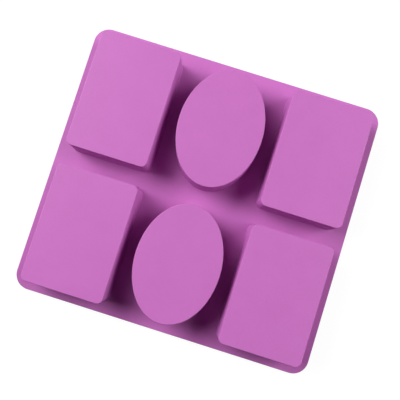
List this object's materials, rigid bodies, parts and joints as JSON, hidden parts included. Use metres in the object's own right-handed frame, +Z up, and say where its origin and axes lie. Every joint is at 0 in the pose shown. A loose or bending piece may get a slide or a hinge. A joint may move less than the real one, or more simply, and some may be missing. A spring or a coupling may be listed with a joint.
{
  "type": "silicone soap mould",
  "caption": "Flexible soap mould tray lying mouths down: rectangular and oval cups rise from a thin rounded flange that folds between the rows, with bases that push in to release the bars.",
  "frame": {"origin": "centre of the rectangle that the flange covers, on its underside, which is the plane of the cup mouths and the surface that the mould lies on", "axes": "+Z is up as the mould lies mouths down, from the mouths to the flat cup bases, so the mould is stored inverted; +X runs along a row of three cups, the longer side; +Y runs from the front row to the rear row, square to the fold line"},
  "size_m": [0.214, 0.1954, 0.025],
  "materials": {
    "silicone": "matte orchid purple silicone"
  },
  "bodies": {
    "rear_half": {"rear_flange": "silicone", "rear_left_cup_wall": "silicone", "rear_middle_cup_wall": "silicone", "rear_right_cup_wall": "silicone"},
    "front_half": {"front_flange": "silicone", "front_left_cup_wall": "silicone", "front_middle_cup_wall": "silicone", "front_right_cup_wall": "silicone"},
    "rear_left_base": {"rear_left_cup_base": "silicone"},
    "rear_middle_base": {"rear_middle_cup_base": "silicone"},
    "rear_right_base": {"rear_right_cup_base": "silicone"},
    "front_left_base": {"front_left_cup_base": "silicone"},
    "front_middle_base": {"front_middle_cup_base": "silicone"},
    "front_right_base": {"front_right_cup_base": "silicone"}
  },
  "joints": [
    {"name": "centre_fold", "type": "hinge", "parent": "rear_half", "child": "front_half", "pos_m": [0, 0, 0.002], "axis": [-1, 0, 0], "range_deg": [0, 28], "stiffness_Nm_per_rad": 0.018},
    {"name": "rear_left_push", "type": "slide", "parent": "rear_half", "child": "rear_left_base", "axis": [0, 0, -1], "range_m": [0, 0.012], "stiffness_N_per_m": 600},
    {"name": "rear_middle_push", "type": "slide", "parent": "rear_half", "child": "rear_middle_base", "axis": [0, 0, -1], "range_m": [0, 0.012], "stiffness_N_per_m": 600},
    {"name": "rear_right_push", "type": "slide", "parent": "rear_half", "child": "rear_right_base", "axis": [0, 0, -1], "range_m": [0, 0.012], "stiffness_N_per_m": 600},
    {"name": "front_left_push", "type": "slide", "parent": "front_half", "child": "front_left_base", "axis": [0, 0, -1], "range_m": [0, 0.012], "stiffness_N_per_m": 600},
    {"name": "front_middle_push", "type": "slide", "parent": "front_half", "child": "front_middle_base", "axis": [0, 0, -1], "range_m": [0, 0.012], "stiffness_N_per_m": 600},
    {"name": "front_right_push", "type": "slide", "parent": "front_half", "child": "front_right_base", "axis": [0, 0, -1], "range_m": [0, 0.012], "stiffness_N_per_m": 600}
  ]
}
